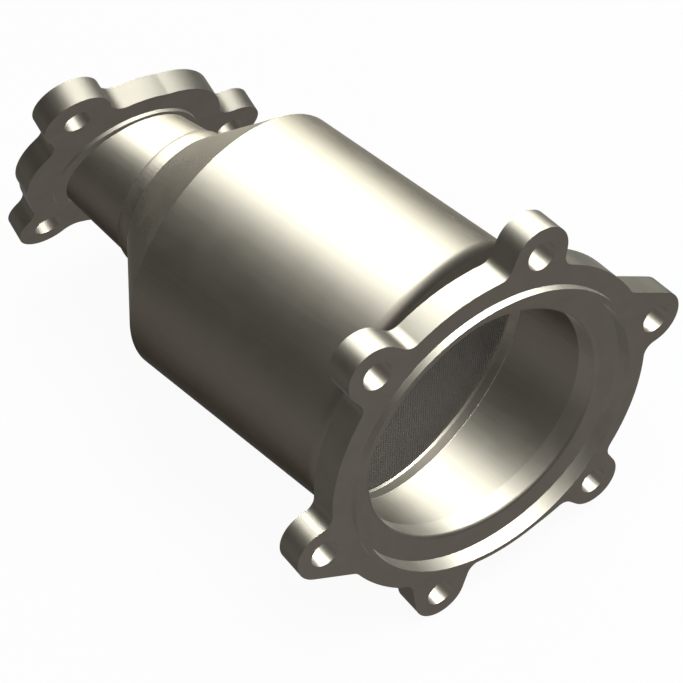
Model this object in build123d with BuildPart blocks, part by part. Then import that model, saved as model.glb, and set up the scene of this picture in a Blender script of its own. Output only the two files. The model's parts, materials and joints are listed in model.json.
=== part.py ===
from build123d import *
import math
import os

# Catalytic converter: a round can between a six-lug outlet flange and a three-lug inlet flange, both oblique.
# The can's axis is the Y axis. The origin is where it crosses the face of the outlet flange.
# Sizes are in millimetres and angles in degrees.

# Clearance of a piece that slips into another, and how far a cutting shape reaches past what it cuts
slip_clearance = 0.1
cut_reach = 40.0

# Catalyst brick, its mat and the knitted seals at both ends of the mat
substrate_radius = 50.8
substrate_length = 88.9
substrate_gap = 0.6
mat_thickness = 3.1
seal_length = 5.0

# Can: where its outlet end wall stands behind the outlet face, its sheet and the rounding of that end
can_start = 31.0
can_wall = 1.5
can_shoulder_radius = 5.0

# Gas bore through the outlet flange and sleeve, as a step in from the brick's radius
bore_step = 3.1
bore_edge_radius = 1.5

# Sleeve between outlet flange and can, with the counterbore at its inner end that holds the retaining ring
counterbore_step = 3.0
counterbore_depth = 2.8
sleeve_rim = 1.3
sleeve_edge_radius = 0.7
sleeve_weld_leg = 2.0
sleeve_weld_face = 0.4

# Conical ring in front of the catalyst: its length, and how far its mouth and throat lie inside its outside
outlet_ring_gap = 0.2
outlet_ring_length = 4.4
outlet_ring_mouth_step = 0.4
outlet_ring_throat_step = 1.8
outlet_ring_lip = 0.4

# Outlet flange: direction of its face, plate, recess, register lip and rim
outlet_tilt = 15.43
outlet_heading = 140.86
outlet_thickness = 11.0
recess_width = 10.3
recess_depth = 3.3
register_wall = 2.1
register_height = 2.8
outlet_rim_width = 7.6

# Shallow relief of the outlet flange's rim between its two lowest lugs
relief_heading = -97.0
relief_depth = 3.9
relief_arc_radius = 90.0

# Outlet bolt lugs: how far the holes lie outside the rim, wall round each hole, rounding at each lug's foot
outlet_bolt_reach = 5.1
outlet_hole_radius = 5.5
outlet_lug_wall = 5.5
outlet_lug_foot = 5.0

# Each outlet lug's place round the face, and the lean of the side before it and of the side after it
outlet_lugs = [
    (4.95, 0.0, 39.0),
    (70.03, 4.0, 10.0),
    (124.95, 8.0, 4.0),
    (-175.05, 0.0, 39.0),
    (-115.05, 25.0, 2.0),
    (-55.05, 4.0, 10.0),
]

# Retaining ring at the inlet end of the brick
inlet_ring_width = 5.0
inlet_ring_thickness = 1.4

# Inlet cone and the tapered neck on it
cone_length = 30.15
neck_radius = 28.6
neck_half_angle = 5.26
neck_wall = 2.0
neck_length = 32.37

# Liner inside the cone: its step in from the can's bore, and where its straight throat begins and ends
liner_step = 3.9
liner_wall = 1.0
liner_throat_setback = 3.05
liner_overlap = 3.95

# Bead round the joint of cone and neck
neck_weld_on_cone = 2.6
neck_weld_on_neck = 3.4
neck_weld_crown = 2.6
neck_weld_shift = 0.6

# Inlet flange: direction of its can-side face, plate, boss, rim, and the neck's end inside it
inlet_tilt = 21.15
inlet_heading = -132.64
inlet_thickness = 9.6
inlet_boss_width = 2.7
inlet_boss_height = 1.45
inlet_boss_offset = 1.2
inlet_boss_heading = -48.0
inlet_rim_width = 8.7
inlet_tube_recess = 2.4
inlet_weld_height = 1.6
inlet_weld_width = 1.4

# Bulges of the inlet flange's rim between its lugs: heading, height over the rim, radius of the arc
inlet_bulges = [
    (158.0, 3.3, 25.0),
    (33.0, 3.5, 30.0),
    (-75.0, 3.0, 30.0),
]

# Inlet bolt lugs: rounding at each foot, and for each lug its heading, the hole's reach over the rim
# and the wall round the hole
inlet_hole_radius = 5.5
inlet_lug_foot = 8.0
inlet_lugs = [
    (118.58, 9.42, 7.9),
    (-138.03, 1.81, 6.8),
    (-11.36, 9.97, 7.9),
]

# Radii that follow, from the brick outwards
can_bore_radius = substrate_radius + mat_thickness
can_radius = can_bore_radius + can_wall
bore_radius = substrate_radius - bore_step
ring_hole_radius = bore_radius + counterbore_step
outlet_ring_radius = ring_hole_radius - slip_clearance
sleeve_radius = ring_hole_radius + sleeve_rim
register_radius = bore_radius + recess_width
lip_radius = register_radius + register_wall
outlet_rim_radius = lip_radius + outlet_rim_width
outlet_bolt_radius = outlet_rim_radius + outlet_bolt_reach
outlet_lug_radius = outlet_hole_radius + outlet_lug_wall
relief_arc_centre = outlet_rim_radius - relief_depth - relief_arc_radius
inlet_ring_bore_radius = can_bore_radius - slip_clearance - inlet_ring_width
liner_radius = can_bore_radius - liner_step
inlet_boss_radius = neck_radius + inlet_boss_width
inlet_rim_radius = inlet_boss_radius + inlet_rim_width

# Places along the axis that follow, from the outlet end to the inlet end
sleeve_bore_end = can_start - counterbore_depth
outlet_ring_start = sleeve_bore_end + outlet_ring_gap
outlet_ring_end = outlet_ring_start + outlet_ring_length
substrate_start = outlet_ring_end + substrate_gap
substrate_end = substrate_start + substrate_length
seal_start = can_start + can_shoulder_radius
mat_start = seal_start + seal_length
mat_end = substrate_end - seal_length
inlet_ring_start = substrate_end + slip_clearance
inlet_ring_end = inlet_ring_start + inlet_ring_thickness
can_end = inlet_ring_end + slip_clearance
cone_end = can_end + cone_length
liner_throat_start = cone_end - liner_throat_setback
liner_end = cone_end + liner_overlap
inlet_crossing = cone_end + neck_length
neck_reach = inlet_crossing + cut_reach

# Slope of the cone, and its sheet measured square to the axis
cone_slope = (can_radius - neck_radius) / cone_length
cone_radial_wall = can_wall * math.hypot(1, cone_slope)


# A plane that crosses the can's axis at a place along it, with a normal that points to the outlet end
# and leans by tilt towards a heading, which is measured from X towards Z
def oblique_plane(crossing, tilt, heading):
    lean = math.radians(tilt)
    turn = math.radians(heading)
    normal = Vector(math.sin(lean) * math.cos(turn), -math.cos(lean), math.sin(lean) * math.sin(turn))
    across = (Vector(1, 0, 0) - normal * normal.X).normalized()
    return Plane(origin=(0, crossing, 0), x_dir=across, z_dir=normal)


# The neck's outer radius at a place along the axis
def neck_radius_at(place):
    return neck_radius - (place - cone_end) * math.tan(math.radians(neck_half_angle))


# The cone's inner radius at a place along the axis
def cone_bore_at(place):
    return can_radius - cone_radial_wall - (place - can_end) * cone_slope


# One side of an outlet lug, seen from its hole with the first axis pointing outwards: the point where the
# side leaves the lug's round end, and its foot inside the flange's ring
def lug_side(side, lean):
    tilt = math.radians(lean)
    touch = (outlet_lug_radius * math.sin(tilt), side * outlet_lug_radius * math.cos(tilt))
    foot_depth = register_radius - outlet_bolt_radius
    spread = (touch[0] - foot_depth) * math.tan(tilt)
    return [touch, (foot_depth, touch[1] + side * spread)]


outlet_face = oblique_plane(0, outlet_tilt, outlet_heading)
outlet_back = outlet_face.offset(-outlet_thickness)
inlet_back = oblique_plane(inlet_crossing, inlet_tilt, inlet_heading)
tube_end_plane = inlet_back.offset(inlet_tube_recess - inlet_thickness)
liner_throat_radius = neck_radius_at(liner_end) - neck_wall - slip_clearance

os.makedirs("parts", exist_ok=True)

# Outlet flange: plate with its lugs, register lip, recess, bolt holes and the bore on the can's axis
with BuildPart() as outlet_flange:
    with BuildSketch(outlet_back) as outlet_plate:
        Circle(outlet_rim_radius)
        with PolarLocations(relief_arc_centre, 1, start_angle=relief_heading):
            Circle(relief_arc_radius, mode=Mode.INTERSECT)
        for heading, lean_before, lean_after in outlet_lugs:
            with PolarLocations(outlet_bolt_radius, 1, start_angle=heading):
                Circle(outlet_lug_radius)
                Polygon(*lug_side(-1, lean_before), *reversed(lug_side(1, lean_after)), align=None)
        lug_feet = outlet_plate.vertices().filter_by(
            lambda corner: Vector(corner).length < outlet_bolt_radius)
        fillet(lug_feet, outlet_lug_foot)
    extrude(amount=outlet_thickness)
    with BuildSketch(outlet_face):
        Circle(lip_radius)
    extrude(amount=register_height)
    with BuildSketch(outlet_face.offset(register_height)):
        Circle(register_radius)
    extrude(amount=-register_height - recess_depth, mode=Mode.SUBTRACT)
    with BuildSketch(outlet_face):
        for heading, lean_before, lean_after in outlet_lugs:
            with PolarLocations(outlet_bolt_radius, 1, start_angle=heading):
                Circle(outlet_hole_radius)
    extrude(amount=-outlet_thickness, mode=Mode.SUBTRACT)
    with BuildSketch(Plane.XZ):
        Circle(bore_radius)
    extrude(amount=cut_reach, both=True, mode=Mode.SUBTRACT)
    bore_wall = outlet_flange.faces().filter_by(GeomType.CYLINDER).filter_by(
        lambda face: abs(face.radius - bore_radius) < slip_clearance)
    fillet(bore_wall.edges().filter_by(GeomType.LINE, reverse=True).sort_by(Axis.Y)[0], bore_edge_radius)
outlet_flange.part.label = "outlet_flange"
export_step(outlet_flange.part, "parts/outlet_flange.step")

# Outlet sleeve: a thick ring from the flange's back to the can, counterbored for the retaining ring
with BuildPart() as outlet_sleeve:
    with BuildSketch(Plane.XY):
        with BuildLine():
            Polyline((bore_radius, -cut_reach), (sleeve_radius, -cut_reach), (sleeve_radius, can_start),
                     (ring_hole_radius, can_start), (ring_hole_radius, sleeve_bore_end),
                     (bore_radius, sleeve_bore_end), close=True)
        make_face()
    revolve(axis=Axis.Y)
    bore_end = outlet_sleeve.edges().filter_by(GeomType.CIRCLE).filter_by(
        lambda edge: abs(edge.radius - bore_radius) < slip_clearance).sort_by(Axis.Y)[-1]
    fillet(bore_end, sleeve_edge_radius)
    split(bisect_by=outlet_back, keep=Keep.BOTTOM)
outlet_sleeve.part.label = "outlet_sleeve"
export_step(outlet_sleeve.part, "parts/outlet_sleeve.step")

# Fillet weld of the sleeve to the flange's back, oblique as the flange is
with BuildPart() as outlet_flange_weld:
    with BuildSketch(Plane.XZ):
        Circle(sleeve_radius + sleeve_weld_leg)
        Circle(sleeve_radius, mode=Mode.SUBTRACT)
    extrude(amount=cut_reach, both=True)
    split(bisect_by=outlet_back, keep=Keep.BOTTOM)
    split(bisect_by=outlet_back.offset(-sleeve_weld_leg), keep=Keep.TOP)
    weld_rim = outlet_flange_weld.faces().sort_by(Axis.Y)[-1].outer_wire().edges()
    chamfer(weld_rim, sleeve_weld_leg - sleeve_weld_face)
outlet_flange_weld.part.label = "outlet_flange_weld"
export_step(outlet_flange_weld.part, "parts/outlet_flange_weld.step")

# Fillet weld of the sleeve to the can's end wall
with BuildPart() as outlet_can_weld:
    with BuildSketch(Plane.XY):
        with BuildLine():
            Polyline((sleeve_radius, can_start - sleeve_weld_leg), (sleeve_radius, can_start),
                     (sleeve_radius + sleeve_weld_leg, can_start), close=True)
        make_face()
    revolve(axis=Axis.Y)
outlet_can_weld.part.label = "outlet_can_weld"
export_step(outlet_can_weld.part, "parts/outlet_can_weld.step")

# Can shell: one drawn tube with a rounded-over end wall at the outlet
with BuildPart() as can_shell:
    with BuildSketch(Plane.XZ.offset(-can_start)):
        Circle(can_radius)
    extrude(amount=can_start - can_end)
    fillet(can_shell.edges().filter_by(GeomType.CIRCLE).sort_by(Axis.Y)[0], can_shoulder_radius)
    offset(amount=-can_wall, openings=can_shell.faces().sort_by(Axis.Y)[-1])
    with BuildSketch(Plane.XZ.offset(-can_start)):
        Circle(ring_hole_radius)
    extrude(amount=-cut_reach, mode=Mode.SUBTRACT)
can_shell.part.label = "can_shell"
export_step(can_shell.part, "parts/can_shell.step")

# Outlet retaining ring: conical towards the mouth, with a rounded inner lip in front of the catalyst face
with BuildPart() as outlet_retaining_ring:
    with BuildSketch(Plane.XY) as ring_profile:
        with BuildLine():
            Polyline((outlet_ring_radius - outlet_ring_mouth_step, outlet_ring_start),
                     (outlet_ring_radius, outlet_ring_start), (outlet_ring_radius, outlet_ring_end),
                     (outlet_ring_radius - outlet_ring_throat_step, outlet_ring_end), close=True)
        make_face()
        fillet(ring_profile.vertices().sort_by(Axis.X)[0], outlet_ring_lip)
    revolve(axis=Axis.Y)
outlet_retaining_ring.part.label = "outlet_retaining_ring"
export_step(outlet_retaining_ring.part, "parts/outlet_retaining_ring.step")

# Catalyst brick: a ceramic honeycomb, as a solid round brick
with BuildPart() as substrate:
    with BuildSketch(Plane.XZ.offset(-substrate_start)):
        Circle(substrate_radius)
    extrude(amount=-substrate_length)
substrate.part.label = "substrate"
export_step(substrate.part, "parts/substrate.step")

# Expanding mat that grips the brick, with a knitted wire seal at each end of it
for wrap_name, wrap_start, wrap_end in (
        ("outlet_mesh_seal", seal_start, mat_start),
        ("support_mat", mat_start, mat_end),
        ("inlet_mesh_seal", mat_end, substrate_end)):
    with BuildPart() as wrap:
        with BuildSketch(Plane.XZ.offset(-wrap_start)):
            Circle(can_bore_radius)
            Circle(substrate_radius, mode=Mode.SUBTRACT)
        extrude(amount=wrap_start - wrap_end)
    wrap.part.label = wrap_name
    export_step(wrap.part, "parts/" + wrap_name + ".step")

# Inlet retaining ring: flat, behind the brick at the end of the can
with BuildPart() as inlet_retaining_ring:
    with BuildSketch(Plane.XZ.offset(-inlet_ring_start)):
        Circle(inlet_ring_bore_radius + inlet_ring_width)
        Circle(inlet_ring_bore_radius, mode=Mode.SUBTRACT)
    extrude(amount=-inlet_ring_thickness)
inlet_retaining_ring.part.label = "inlet_retaining_ring"
export_step(inlet_retaining_ring.part, "parts/inlet_retaining_ring.step")

# Inlet cone: a straight sheet cone that meets the can and the neck at sharp creases
with BuildPart() as inlet_cone:
    with BuildSketch(Plane.XY):
        with BuildLine():
            Polyline((can_radius, can_end), (neck_radius, cone_end), (cone_bore_at(cone_end), cone_end),
                     (cone_bore_at(can_end), can_end), close=True)
        make_face()
    revolve(axis=Axis.Y)
inlet_cone.part.label = "inlet_cone"
export_step(inlet_cone.part, "parts/inlet_cone.step")

# Liner inside the cone: from the retaining ring into the neck
with BuildPart() as inlet_cone_liner:
    with BuildSketch(Plane.XY):
        with BuildLine():
            Polyline((liner_radius, inlet_ring_end), (liner_throat_radius, liner_throat_start),
                     (liner_throat_radius, liner_end), (liner_throat_radius - liner_wall, liner_end),
                     (liner_throat_radius - liner_wall, liner_throat_start),
                     (liner_radius - liner_wall, inlet_ring_end), close=True)
        make_face()
    revolve(axis=Axis.Y)
inlet_cone_liner.part.label = "inlet_cone_liner"
export_step(inlet_cone_liner.part, "parts/inlet_cone_liner.step")

# Fibre blanket between cone and liner
with BuildPart() as cone_insulation:
    with BuildSketch(Plane.XY):
        with BuildLine():
            Polyline((liner_radius, inlet_ring_end), (cone_bore_at(can_end), inlet_ring_end),
                     (cone_bore_at(can_end), can_end), (cone_bore_at(liner_throat_start), liner_throat_start),
                     (liner_throat_radius, liner_throat_start), close=True)
        make_face()
    revolve(axis=Axis.Y)
cone_insulation.part.label = "cone_insulation"
export_step(cone_insulation.part, "parts/cone_insulation.step")

# Inlet neck: a slightly tapering tube that ends inside the inlet flange
with BuildPart() as inlet_neck:
    with BuildSketch(Plane.XY):
        with BuildLine():
            Polyline((neck_radius, cone_end), (neck_radius_at(neck_reach), neck_reach),
                     (neck_radius_at(neck_reach) - neck_wall, neck_reach),
                     (neck_radius - neck_wall, cone_end), close=True)
        make_face()
    revolve(axis=Axis.Y)
    split(bisect_by=tube_end_plane, keep=Keep.TOP)
inlet_neck.part.label = "inlet_neck"
export_step(inlet_neck.part, "parts/inlet_neck.step")

# Bead round the joint of cone and neck
with BuildPart() as neck_weld:
    with BuildSketch(Plane.XY):
        bead_start = (neck_radius + neck_weld_on_cone * cone_slope, cone_end - neck_weld_on_cone)
        bead_end = (neck_radius_at(cone_end + neck_weld_on_neck), cone_end + neck_weld_on_neck)
        with BuildLine():
            Polyline(bead_end, (neck_radius, cone_end), bead_start)
            ThreePointArc(bead_start, (neck_radius + neck_weld_crown, cone_end + neck_weld_shift), bead_end)
        make_face()
    revolve(axis=Axis.Y)
neck_weld.part.label = "neck_weld"
export_step(neck_weld.part, "parts/neck_weld.step")

# Inlet flange: plate with uneven lugs and a waved rim, a low round boss on the can side, and a tapered bore
with BuildPart() as inlet_flange:
    with BuildSketch(inlet_back) as inlet_plate:
        Circle(inlet_rim_radius)
        for heading, height, arc_radius in inlet_bulges:
            with PolarLocations(inlet_rim_radius + height - arc_radius, 1, start_angle=heading):
                Circle(arc_radius)
        for heading, reach, wall in inlet_lugs:
            with PolarLocations(inlet_rim_radius + reach, 1, start_angle=heading):
                Circle(inlet_hole_radius + wall)
        offset(amount=inlet_lug_foot)
        offset(amount=-inlet_lug_foot)
    extrude(amount=-inlet_thickness)
    with BuildSketch(inlet_back):
        with PolarLocations(inlet_boss_offset, 1, start_angle=inlet_boss_heading):
            Circle(inlet_boss_radius)
    extrude(amount=inlet_boss_height)
    with BuildSketch(inlet_back):
        for heading, reach, wall in inlet_lugs:
            with PolarLocations(inlet_rim_radius + reach, 1, start_angle=heading):
                Circle(inlet_hole_radius)
    extrude(amount=-inlet_thickness, mode=Mode.SUBTRACT)
    with BuildSketch(Plane.XY):
        with BuildLine():
            Polyline((0, cone_end), (neck_radius_at(cone_end) + slip_clearance, cone_end),
                     (neck_radius_at(neck_reach) + slip_clearance, neck_reach), (0, neck_reach), close=True)
        make_face()
    revolve(axis=Axis.Y, mode=Mode.SUBTRACT)
inlet_flange.part.label = "inlet_flange"
export_step(inlet_flange.part, "parts/inlet_flange.step")

# Weld of the neck's end inside the inlet flange's bore
with BuildPart() as inlet_flange_weld:
    with BuildSketch(Plane.XY):
        with BuildLine():
            Polyline((neck_radius_at(cone_end) + slip_clearance, cone_end),
                     (neck_radius_at(neck_reach) + slip_clearance, neck_reach),
                     (neck_radius_at(neck_reach) - inlet_weld_width, neck_reach),
                     (neck_radius_at(cone_end) - inlet_weld_width, cone_end), close=True)
        make_face()
    revolve(axis=Axis.Y)
    split(bisect_by=tube_end_plane, keep=Keep.BOTTOM)
    split(bisect_by=tube_end_plane.offset(-inlet_weld_height), keep=Keep.TOP)
inlet_flange_weld.part.label = "inlet_flange_weld"
export_step(inlet_flange_weld.part, "parts/inlet_flange_weld.step")
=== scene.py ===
import json
import math

import bpy
from mathutils import Euler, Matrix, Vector


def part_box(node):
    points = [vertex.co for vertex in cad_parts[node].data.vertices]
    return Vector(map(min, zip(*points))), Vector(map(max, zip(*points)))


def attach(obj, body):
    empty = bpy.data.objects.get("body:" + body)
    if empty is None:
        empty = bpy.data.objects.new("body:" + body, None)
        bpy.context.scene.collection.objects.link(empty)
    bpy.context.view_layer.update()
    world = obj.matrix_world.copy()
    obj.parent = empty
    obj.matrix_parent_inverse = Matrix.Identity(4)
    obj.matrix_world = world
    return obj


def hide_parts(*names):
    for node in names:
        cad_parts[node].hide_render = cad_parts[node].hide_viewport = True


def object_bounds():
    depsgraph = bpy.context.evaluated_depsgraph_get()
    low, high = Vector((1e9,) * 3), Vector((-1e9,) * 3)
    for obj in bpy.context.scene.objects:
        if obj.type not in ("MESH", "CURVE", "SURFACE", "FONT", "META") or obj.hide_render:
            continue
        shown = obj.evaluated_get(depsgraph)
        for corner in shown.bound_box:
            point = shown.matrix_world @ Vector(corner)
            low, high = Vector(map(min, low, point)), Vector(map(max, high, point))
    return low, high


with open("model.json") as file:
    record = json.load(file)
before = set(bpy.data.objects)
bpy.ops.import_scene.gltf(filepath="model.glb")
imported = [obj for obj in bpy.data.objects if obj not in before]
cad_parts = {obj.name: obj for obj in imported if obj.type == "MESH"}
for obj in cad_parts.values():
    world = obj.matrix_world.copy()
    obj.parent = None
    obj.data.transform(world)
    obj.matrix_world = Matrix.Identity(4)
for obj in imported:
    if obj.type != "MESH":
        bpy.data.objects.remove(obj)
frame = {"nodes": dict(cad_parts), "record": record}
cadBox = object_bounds()
print("frame loaded:", len(frame["nodes"]), "nodes")


# a node's output that can stand in a sum: every operator adds the Math node it needs
class Wire:
    def __init__(self, finish, socket):
        self.finish = finish
        self.socket = socket

    def __add__(self, other):
        return self.finish.maths("ADD", self, other)

    __radd__ = __add__

    def __sub__(self, other):
        return self.finish.maths("SUBTRACT", self, other)

    def __rsub__(self, other):
        return self.finish.maths("SUBTRACT", other, self)

    def __mul__(self, other):
        return self.finish.maths("MULTIPLY", self, other)

    __rmul__ = __mul__

    def __truediv__(self, other):
        return self.finish.maths("DIVIDE", self, other)

    def __rtruediv__(self, other):
        return self.finish.maths("DIVIDE", other, self)

    # another output of the same node
    def output(self, name):
        return Wire(self.finish, self.socket.node.outputs[name])


# a colour made darker or lighter
def scaled(colour, share):
    return tuple(channel * share for channel in colour)


# two tones in one, the first with this share of it
def mixed(first, second, share):
    return first * share + second * (1 - share)


# a tone from 0 to 1 as a change of roughness, half of the swing up and half of it down
def wander(tone, swing):
    return (tone - 0.5) * swing


grainSpread = (0.3, 0.7)                           # tones of the noise that become black and white


# the node tree of one material, or of the world
class Finish:
    def __init__(self, owner):
        owner.use_nodes = True
        self.owner = owner
        self.tree = owner.node_tree
        self.tree.nodes.clear()

    # one node: its settings first, then the values or wires of its sockets; out is the output handed back
    def add(self, kind, settings=None, sockets=None, out=0):
        node = self.tree.nodes.new("ShaderNode" + kind)
        for name, value in (settings or {}).items():
            setattr(node, name, value)
        for name, value in (sockets or {}).items():
            socket = node.inputs[name]
            if isinstance(value, Wire):
                self.tree.links.new(value.socket, socket)
            elif socket.type == "RGBA":
                socket.default_value = (*value, 1.0)
            else:
                socket.default_value = value
        return Wire(self, node.outputs[out]) if len(node.outputs) else None

    def maths(self, operation, left, right=0.0, clamp=False):
        return self.add("Math", {"operation": operation, "use_clamp": clamp}, {0: left, 1: right})

    # a vector operation on two vectors; the result's name is Vector, or Value where it is a number
    def vectors(self, operation, left, right, out="Vector"):
        return self.add("VectorMath", {"operation": operation}, {0: left, 1: right}, out)

    # 0 up to the low value, 1 from the high one, and a smooth rise between them
    def ramp(self, value, low, high):
        return self.add("MapRange", {"interpolation_type": "SMOOTHSTEP"}, {0: value, 1: low, 2: high})

    # a colour between two; the node has its mixed colour third, after a number and a vector
    def tint(self, factor, first, second):
        return self.add("Mix", {"data_type": "RGBA"}, {"Factor": factor, "A": first, "B": second}, out=2)

    # places on the part, in metres
    def place(self):
        return self.add("TexCoord", out="Object")

    # distance from the can's axis, angle round it and place along it
    def roundAxis(self):
        x = self.add("SeparateXYZ", None, {0: self.place()})
        z = x.output("Z")
        radius = self.maths("SQRT", x * x + z * z)
        return radius, self.maths("ARCTAN2", z, x), x.output("Y")

    # grain of a size in metres, drawn out along each axis by a factor; its middle tones are spread out
    def grain(self, size, drawn=(1.0, 1.0, 1.0), detail=3.0):
        scale = tuple(1 / (size * factor) for factor in drawn)
        place = self.vectors("MULTIPLY", self.place(), scale)
        noise = self.add("TexNoise", None, {"Vector": place, "Scale": 1.0, "Detail": detail})
        return self.ramp(noise, *grainSpread)

    # the metal that every steel finish ends in; the rim is where it takes a darker tone, a cut edge's tone
    # and painted shade in one
    def metal(self, values, tone, height, roughness, rim=None):
        sides = [scaled(values["colour"], 1 + side * values["mottle"]) for side in (-1, 1)]
        colour = self.tint(tone, *sides)
        if rim:
            shadedCutSides = [scaled(side, values["cutEdgeAndShade"]) for side in sides]
            colour = self.tint(rim, colour, self.tint(tone, *shadedCutSides))
        bump = self.add("Bump", None, {"Height": height, "Strength": 1.0, "Distance": values["relief"]})
        shade = self.add("BsdfPrincipled", None, {
            "Base Color": colour, "Metallic": 1.0, "Roughness": roughness,
            "Specular Tint": values["edgeTint"], "Normal": bump})
        self.add("OutputMaterial", None, {"Surface": shade})
        return self.owner

    # the surface that has no gloss, for brick and fibre
    def matt(self, values, colour, height):
        bump = self.add("Bump", None, {"Height": height, "Strength": 1.0, "Distance": values["relief"]})
        shade = self.add("BsdfPrincipled", None, {
            "Base Color": colour, "Roughness": values["roughness"],
            "Specular IOR Level": 0.0, "Normal": bump})
        self.add("OutputMaterial", None, {"Surface": shade})
        return self.owner


def newFinish(name):
    return Finish(bpy.data.materials.new(name))


def newObject(name, data):
    added = bpy.data.objects.new(name, data)
    bpy.context.scene.collection.objects.link(added)
    return added


# camera

cameraView = {
    "lens": 96.657,                                # mm
    "sensor": 36.0,                                # mm
    "clipStart": 0.01,
    "place": (-0.294917, -0.201691, 0.523776),
    "turn": (36.861, 0.0, -47.128),                # degrees about X, Y and Z
}


def setCamera(view):
    camera = bpy.data.cameras.new("partCamera")
    camera.lens = view["lens"]
    camera.sensor_width = view["sensor"]
    camera.clip_start = view["clipStart"]
    holder = newObject("partCamera", camera)
    holder.location = view["place"]
    holder.rotation_euler = Euler([math.radians(angle) for angle in view["turn"]])
    bpy.context.scene.camera = holder


setCamera(cameraView)
print("camera set")

# studio: floor, world and softboxes

studio = {
    "floorColour": (0.8, 0.8, 0.8),
    "floorGlow": (1.0, 1.0, 1.0),                  # what camera, gloss and glass see of the floor
    "floorLift": 0.94,                             # share of that glow; the rest keeps the shadow
    "floorReach": 6.0,                             # from its middle to each side
    "floorFade": (0.42, 1.1),                      # where the glow sinks into the world's grey
    "worldColour": (1.0, 0.99, 0.97),
    "worldStrength": 0.37,
    "aim": (0.0, 0.08, 0.0),                       # what the softboxes face, and the glow's middle
}

softboxes = {
    # overhead, for matt surfaces and the part's shadow on the floor
    "ceilingBox": {"direction": (0.1, -0.2, 1.0), "distance": 1.6, "size": (1.4, 1.4), "watts": 22.0,
                   "colour": (1.0, 1.0, 1.0), "castsShadow": True, "lightsMatt": True},
    # a card that shows only in the gloss of the metal, as its one broad highlight
    "sheenCard": {"direction": (0.525, 0.63, 0.57), "distance": 1.6, "size": (2.0, 2.7), "watts": 280.0,
                  "colour": (0.93, 1.0, 0.985), "castsShadow": False, "lightsMatt": False},
}


def layFloor(values):
    low = cadBox[0][2]
    reach = values["floorReach"]
    corners = [(-reach, -reach, low), (reach, -reach, low), (reach, reach, low), (-reach, reach, low)]
    mesh = bpy.data.meshes.new("studioFloor")
    mesh.from_pydata(corners, [], [(0, 1, 2, 3)])
    floor = newObject("studioFloor", mesh)
    finish = newFinish("studioFloor")
    camera = finish.add("LightPath", out="Is Camera Ray")
    gloss, glass = camera.output("Is Glossy Ray"), camera.output("Is Transmission Ray")
    seen = finish.maths("ADD", camera + gloss, glass, clamp=True)
    middle = (*values["aim"][:2], low)
    distance = finish.vectors("DISTANCE", finish.place(), middle, out="Value")
    far = finish.ramp(distance, *values["floorFade"])
    matt = finish.add("BsdfDiffuse", None, {"Color": values["floorColour"]})
    glowColour = finish.tint(far, values["floorGlow"], values["worldColour"])
    dimmed = finish.add("VectorMath", {"operation": "SCALE"},
                        {0: glowColour, "Scale": 1 - far * (1 - values["worldStrength"])})
    glow = finish.add("Emission", None, {"Color": dimmed, "Strength": 1.0})
    lift = seen * (values["floorLift"] + far * (1 - values["floorLift"]))
    shade = finish.add("MixShader", None, {0: lift, 1: matt, 2: glow})
    finish.add("OutputMaterial", None, {"Surface": shade})
    mesh.materials.append(finish.owner)


def lightWorld(values):
    world = bpy.data.worlds.new("studioWorld")
    bpy.context.scene.world = world
    finish = Finish(world)
    sky = finish.add("Background", None, {
        "Color": values["worldColour"], "Strength": values["worldStrength"]})
    finish.add("OutputWorld", None, {"Surface": sky})


def hangSoftbox(name, values):
    lamp = bpy.data.lights.new(name, "AREA")
    lamp.shape = "ELLIPSE"
    lamp.size, lamp.size_y = values["size"]
    lamp.energy = values["watts"]
    lamp.color = values["colour"]
    lamp.use_shadow = values["castsShadow"]
    # the part would still stop the metal's own rays towards a lamp that casts no shadow, so these are off
    lamp.cycles.use_multiple_importance_sampling = values["castsShadow"]
    direction = Vector(values["direction"]).normalized()
    holder = newObject(name, lamp)
    holder.location = Vector(studio["aim"]) + direction * values["distance"]
    holder.rotation_euler = direction.to_track_quat("Z", "Y").to_euler()
    holder.visible_diffuse = values["lightsMatt"]


layFloor(studio)
lightWorld(studio)
for boxName, boxValues in softboxes.items():
    hangSoftbox(boxName, boxValues)
bpy.context.scene.view_settings.view_transform = "Standard"
print("studio set")

# steel finishes: the share mottle makes the colour darker and lighter, and relief is the bump's depth;
# patch, streak, toolPitch, pores and loop are sizes of grain, a grain's share is its part of the tone,
# and its swing is how far it moves the roughness

rolledSheet = {                                    # can, cone, neck and sleeve
    "colour": (0.1075, 0.096, 0.081),
    "mottle": 0.05,
    "edgeTint": (0.22, 0.22, 0.22),
    "roughness": 0.45,
    "relief": 0.000002,
    "patch": 0.012,
    "patchShare": 0.55,
    "patchSwing": 0.015,
    "streak": 0.0011,
    "streakLength": 30.0,                          # in widths of a streak
    "streakSwing": 0.015,
}

machinedPlate = {                                  # both flanges
    "colour": (0.132, 0.118, 0.100),
    "mottle": 0.07,
    "edgeTint": (0.45, 0.45, 0.45),
    "roughness": 0.45,
    "relief": 0.0000015,
    "patch": 0.009,
    "patchShare": 0.6,
    "patchSwing": 0.02,
    "toolPitch": 0.0006,
    "toolShare": 0.6,                              # of the bump; the pores make the rest
    "toolSwing": 0.03,
    "pores": 0.0011,
    "cutEdgeAndShade": 0.70,                               # tone of the rim, cut edge and painted shade, as a share of the faces'
    "faceTilt": (0.25, 0.75),                      # squared cosine to the axis at which rim becomes face
    "holeMargin": (1.05, 1.15),                    # in radii of a bolt hole, where the rim's tone sets in
    "rimStart": {"outlet": 0.0605, "inlet": 0.033},   # no rim nearer than this to the can's axis
    "rimFade": 0.002,                              # width over which its tone sets in from there
}

pressedSteel = {                                   # rings and cone liner
    "colour": (0.124, 0.110, 0.093),
    "mottle": 0.08,
    "edgeTint": (0.25, 0.25, 0.25),
    "roughness": 0.46,
    "relief": 0.000004,
    "patch": 0.006,
    "pores": 0.0005,
    "poreSwing": 0.02,
}

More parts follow.
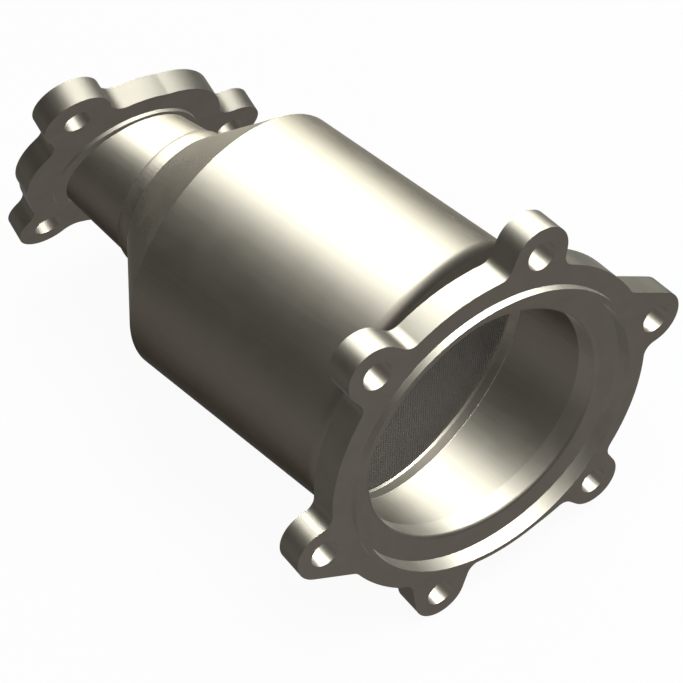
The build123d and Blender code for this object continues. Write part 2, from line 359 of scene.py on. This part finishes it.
weldMetal = {                                      # every bead
    "colour": (0.106, 0.094, 0.079),
    "mottle": 0.06,
    "edgeTint": (0.25, 0.25, 0.25),
    "roughness": 0.45,
    "relief": 0.00001,
    "ripples": 96.0,                               # in one turn round the axis
    "rippleWander": 3.0,                           # radians by which the patches push a ripple
    "rippleSlant": 400.0,                          # radians that it turns by per metre along the axis
    "patch": 0.004,
    "patchShare": 0.85,
    "patchSwing": 0.03,
}

knittedWire = {                                    # seals at both ends of the mat
    "colour": (0.30, 0.28, 0.25),
    # its darker side falls in the gaps between the loops: painted shade between the wires
    "mottle": 0.3,
    "edgeTint": (0.5, 0.5, 0.5),
    "roughness": 0.45,
    "relief": 0.0002,
    "loop": 0.0012,
    "strandEdge": (0.02, 0.25),                    # in loops, where strand becomes gap
    "gapRoughness": 0.1,                           # what a gap adds
}


def rolledSheetFinish(values):
    finish = newFinish("rolledSheet")
    patch = finish.grain(values["patch"], detail=4.0)
    streak = finish.grain(values["streak"], drawn=(1.0, values["streakLength"], 1.0))
    tone = mixed(patch, streak, values["patchShare"])
    roughness = values["roughness"] + wander(patch, values["patchSwing"])
    roughness = roughness + wander(streak, values["streakSwing"])
    return finish.metal(values, tone, streak, roughness)


# the plate's rim in a darker tone, as its mill and saw left it and as painted shade: 1 there, 0 on both
# faces, in the bore and in the bolt holes
def shadedCutRim(finish, values, flange, radius):
    mounts = {mount["name"]: mount for mount in frame["record"]["mounts"]}
    axis = tuple(mounts[flange + "_face"]["axis"])
    tilt = finish.vectors("DOT_PRODUCT", finish.add("NewGeometry", out="Normal"), axis, out="Value")
    rim = 1 - finish.ramp(tilt * tilt, *values["faceTilt"])
    for name, mount in mounts.items():
        if name.startswith(flange + "_bolt_hole"):
            arm = finish.vectors("SUBTRACT", finish.place(), tuple(mount["pos_m"]))
            offAxis = finish.vectors("CROSS_PRODUCT", arm, axis)
            distance = finish.add("VectorMath", {"operation": "LENGTH"}, {0: offAxis}, out="Value")
            holeRadius = mount["dims"]["r_mm"] / 1000
            rim = rim * finish.ramp(distance, *(holeRadius * margin for margin in values["holeMargin"]))
    start = values["rimStart"][flange]
    return rim * finish.ramp(radius, start, start + values["rimFade"])


def machinedPlateFinish(values, flange):
    finish = newFinish(flange + "Plate")
    patch = finish.grain(values["patch"], detail=4.0)
    pores = finish.grain(values["pores"], detail=2.0)
    radius = finish.roundAxis()[0]
    cut = finish.add("TexNoise", {"noise_dimensions": "1D"},
                     {"W": radius / values["toolPitch"], "Scale": 1.0})
    tone = mixed(patch, cut, values["patchShare"])
    height = mixed(cut, pores, values["toolShare"])
    roughness = values["roughness"] + wander(patch, values["patchSwing"])
    roughness = roughness + wander(cut, values["toolSwing"])
    return finish.metal(values, tone, height, roughness, shadedCutRim(finish, values, flange, radius))


def pressedSteelFinish(values):
    finish = newFinish("pressedSteel")
    patch = finish.grain(values["patch"])
    pores = finish.grain(values["pores"])
    return finish.metal(values, patch, pores, values["roughness"] + wander(pores, values["poreSwing"]))


def weldMetalFinish(values):
    finish = newFinish("weldMetal")
    patch = finish.grain(values["patch"])
    angle, along = finish.roundAxis()[1:]
    turn = angle * values["ripples"] + patch * values["rippleWander"] + along * values["rippleSlant"]
    ripple = finish.maths("SINE", turn) * 0.5 + 0.5
    tone = mixed(patch, ripple, values["patchShare"])
    return finish.metal(values, tone, ripple, values["roughness"] + wander(patch, values["patchSwing"]))


def knittedWireFinish(values):
    finish = newFinish("knittedWire")
    loops = finish.add("TexVoronoi", {"feature": "DISTANCE_TO_EDGE"},
                       {"Vector": finish.place(), "Scale": 1 / values["loop"]})
    gap = finish.ramp(loops, *values["strandEdge"])
    strand = 1 - gap
    # the gaps take the darker tone: painted shade between the wires
    return finish.metal(values, strand, strand, values["roughness"] + gap * values["gapRoughness"])


# brick, mat and blanket

washcoat = {
    "wall": (0.31, 0.293, 0.268),
    # the floor between the honeycomb walls, darker than them: painted shade for the depth of the open
    # channels
    "cell": (0.175, 0.166, 0.152),
    "darkWall": 0.85,                              # darkest tone, as a share of the lightest
    "darkCell": 0.7,
    "roughness": 0.9,
    "relief": 0.00003,
    "grit": 0.0004,
    "gritShare": 0.5,
    "patch": 0.008,
}

fibre = {
    "colour": (0.72, 0.69, 0.62),
    "shade": (0.52, 0.49, 0.43),
    "roughness": 0.95,
    "relief": 0.0002,
    "strand": 0.0006,
    "strandShape": (6.0, 1.0, 6.0),                # drawn out along X, Y and Z
}


def fibreFinish(values):
    finish = newFinish("fibreMat")
    strand = finish.grain(values["strand"], drawn=values["strandShape"], detail=5.0)
    return finish.matt(values, finish.tint(strand, values["shade"], values["colour"]), strand)


def washcoatFinish(values):
    finish = newFinish("washcoat")
    grit = finish.grain(values["grit"], detail=4.0)
    tone = mixed(grit, finish.grain(values["patch"]), values["gritShare"])
    dark = scaled(values["wall"], values["darkWall"])
    return finish.matt(values, finish.tint(tone, dark, values["wall"]), grit)


# the brick's solid face between the honeycomb walls, in a darker colour that is painted shade for the
# depth of its channels
def shadedCellFinish(values):
    finish = newFinish("shadedCellFloor")
    grit = finish.grain(values["grit"], detail=4.0)
    dark = scaled(values["cell"], values["darkCell"])
    return finish.matt(values, finish.tint(grit, dark, values["cell"]), grit)


def dress(material, *nodes):
    for node in nodes:
        for slot in frame["nodes"][node].material_slots:
            slot.material = material


sheet = rolledSheetFinish(rolledSheet)
outletPlate = machinedPlateFinish(machinedPlate, "outlet")
inletPlate = machinedPlateFinish(machinedPlate, "inlet")
pressed = pressedSteelFinish(pressedSteel)
weld = weldMetalFinish(weldMetal)
knitted = knittedWireFinish(knittedWire)
mat = fibreFinish(fibre)
brick = washcoatFinish(washcoat)
cell = shadedCellFinish(washcoat)

dress(sheet, "can_shell", "inlet_cone", "inlet_neck", "outlet_sleeve")
dress(outletPlate, "outlet_flange")
dress(inletPlate, "inlet_flange")
dress(pressed, "outlet_retaining_ring", "inlet_retaining_ring", "inlet_cone_liner")
dress(weld, "outlet_flange_weld", "outlet_can_weld", "neck_weld", "inlet_flange_weld")
dress(knitted, "outlet_mesh_seal", "inlet_mesh_seal")
dress(mat, "support_mat", "cone_insulation")
dress(cell, "substrate")
print("finishes set")


# a turned piece: a closed outline of radii and places, turned about the can's axis
def turned(name, outline, values, material, node):
    count = len(outline)
    segments = values["segments"]
    points = []
    faces = []
    for turn in range(segments):
        angle = math.tau * turn / segments
        right, up = math.cos(angle), math.sin(angle)
        points += [(radius * right, place, radius * up) for radius, place in outline]
        here = turn * count
        beyond = (turn + 1) % segments * count
        for step in range(count):
            after = (step + 1) % count
            faces.append((here + step, here + after, beyond + after, beyond + step))
    mesh = bpy.data.meshes.new(name)
    mesh.from_pydata(points, [], faces)
    mesh.shade_smooth()
    mesh.set_sharp_from_angle(angle=math.radians(values["crispAngle"]))
    mesh.materials.append(material)
    piece = newObject(name, mesh)
    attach(piece, "root")
    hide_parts(node)
    return piece


# bead round the joint of cone and neck: a collar with a crisp edge on the cone, rounded off to the neck

neckBead = {
    "onCone": 0.0013,                              # how far it reaches along the axis on either side
    "onNeck": 0.0054,
    "neckTaper": 0.0921,                           # what the neck's radius loses per metre along it
    "sunk": 0.00005,                               # depth of its thin edge in the neck
    "tucked": 0.0002,                              # depth of its hidden corner under the joint
    "steps": 16,
    "segments": 180,
    "crispAngle": 35.0,                            # degrees from which an edge stays crisp
}


def neckBeadOutline(values):
    coneLow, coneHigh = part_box("inlet_cone")
    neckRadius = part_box("inlet_neck")[1].x
    slope = (coneHigh.x - neckRadius) / (coneHigh.y - coneLow.y)
    crown = neckRadius + values["onCone"] * slope
    foot = neckRadius - values["onNeck"] * values["neckTaper"] - values["sunk"]
    start = coneHigh.y - values["onCone"]
    length = values["onCone"] + values["onNeck"]
    turns = [math.pi / 2 * step / values["steps"] for step in range(values["steps"] + 1)]
    outline = [(foot + (crown - foot) * math.cos(turn), start + length * math.sin(turn)) for turn in turns]
    outline.append((neckRadius - values["tucked"], coneHigh.y))
    return outline


# retaining ring in front of the brick: a cone that ends in a short round throat

retainingRing = {
    "mouthStep": 0.0006,                           # how far mouth and throat lie within its outer radius
    "throatStep": 0.0018,
    "throatLength": 0.0012,
    "segments": 180,
    "crispAngle": 15.0,
}


def retainingRingOutline(values):
    low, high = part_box("outlet_retaining_ring")
    throat = high.x - values["throatStep"]
    return [(high.x, low.y), (high.x, high.y), (throat, high.y), (throat, high.y - values["throatLength"]),
            (high.x - values["mouthStep"], low.y)]


bead = turned("neck_bead", neckBeadOutline(neckBead), neckBead, weld, "neck_weld")
ring = turned("throated_ring", retainingRingOutline(retainingRing), retainingRing, pressed,
              "outlet_retaining_ring")
print("turned pieces built")

# honeycomb walls on both end faces of the brick, standing a little proud of its solid

honeycomb = {
    "cellPitch": 0.00127,
    "cellWall": 0.00017,
    "wallHeight": 0.0004,
    "reach": 0.0484,                               # radius of its round edge
}


def honeycombWalls(name, place, outwards, values):
    pitch = values["cellPitch"]
    inset = values["cellWall"] / 2
    reach = values["reach"]
    front = place + outwards * values["wallHeight"]
    count = int(reach / pitch) + 1
    steps = [(0, 0), (1, 0), (1, 1), (0, 1)]       # the corners of a cell, in order round it
    corners = {}
    points = []
    faces = []

    # the axis runs through the middle of a cell, half a pitch from the nearest walls
    def gridLine(index):
        return (index + 0.5) * pitch

    # a point outside the brick's round edge comes in to it
    def point(x, y, z, limit):
        inwards = min(1.0, limit / math.hypot(x, z))
        points.append((x * inwards, y, z * inwards))
        return len(points) - 1

    def gridCorner(column, row, y):
        if (column, row, y) not in corners:
            corners[column, row, y] = point(gridLine(column), y, gridLine(row), reach)
        return corners[column, row, y]

    for column in range(-count, count):
        for row in range(-count, count):
            grid = [(column + right, row + up) for right, up in steps]
            isCut = [math.hypot(gridLine(right), gridLine(up)) > reach for right, up in grid]
            if all(isCut):
                continue
            outer = [gridCorner(right, up, front) for right, up in grid]
            inner = [[gridLine(index) + inset * (1 - 2 * step) for index, step in zip(*corner)]
                     for corner in zip(grid, steps)]
            top = [point(x, front, z, reach - inset) for x, z in inner]
            foot = [point(x, place, z, reach - inset) for x, z in inner]
            for side in range(4):
                after = (side + 1) % 4
                faces.append((outer[side], outer[after], top[after], top[side]))
                faces.append((top[side], top[after], foot[after], foot[side]))
                if isCut[side] and isCut[after]:
                    low = gridCorner(*grid[side], place), gridCorner(*grid[after], place)
                    faces.append((outer[after], outer[side], *low))
    if outwards > 0:
        faces = [tuple(reversed(face)) for face in faces]
    mesh = bpy.data.meshes.new(name)
    mesh.from_pydata(points, [], faces)
    mesh.materials.append(brick)
    walls = newObject(name, mesh)
    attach(walls, "root")
    return walls


brickLow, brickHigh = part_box("substrate")
outletFace = honeycombWalls("honeycomb_outlet_face", brickLow.y, -1, honeycomb)
inletFace = honeycombWalls("honeycomb_inlet_face", brickHigh.y, 1, honeycomb)
print("honeycomb built")

# the metal shows the studio and not its own other side, as a drawn part does
for node in (*frame["nodes"].values(), bead, ring, outletFace, inletFace):
    node.visible_glossy = False
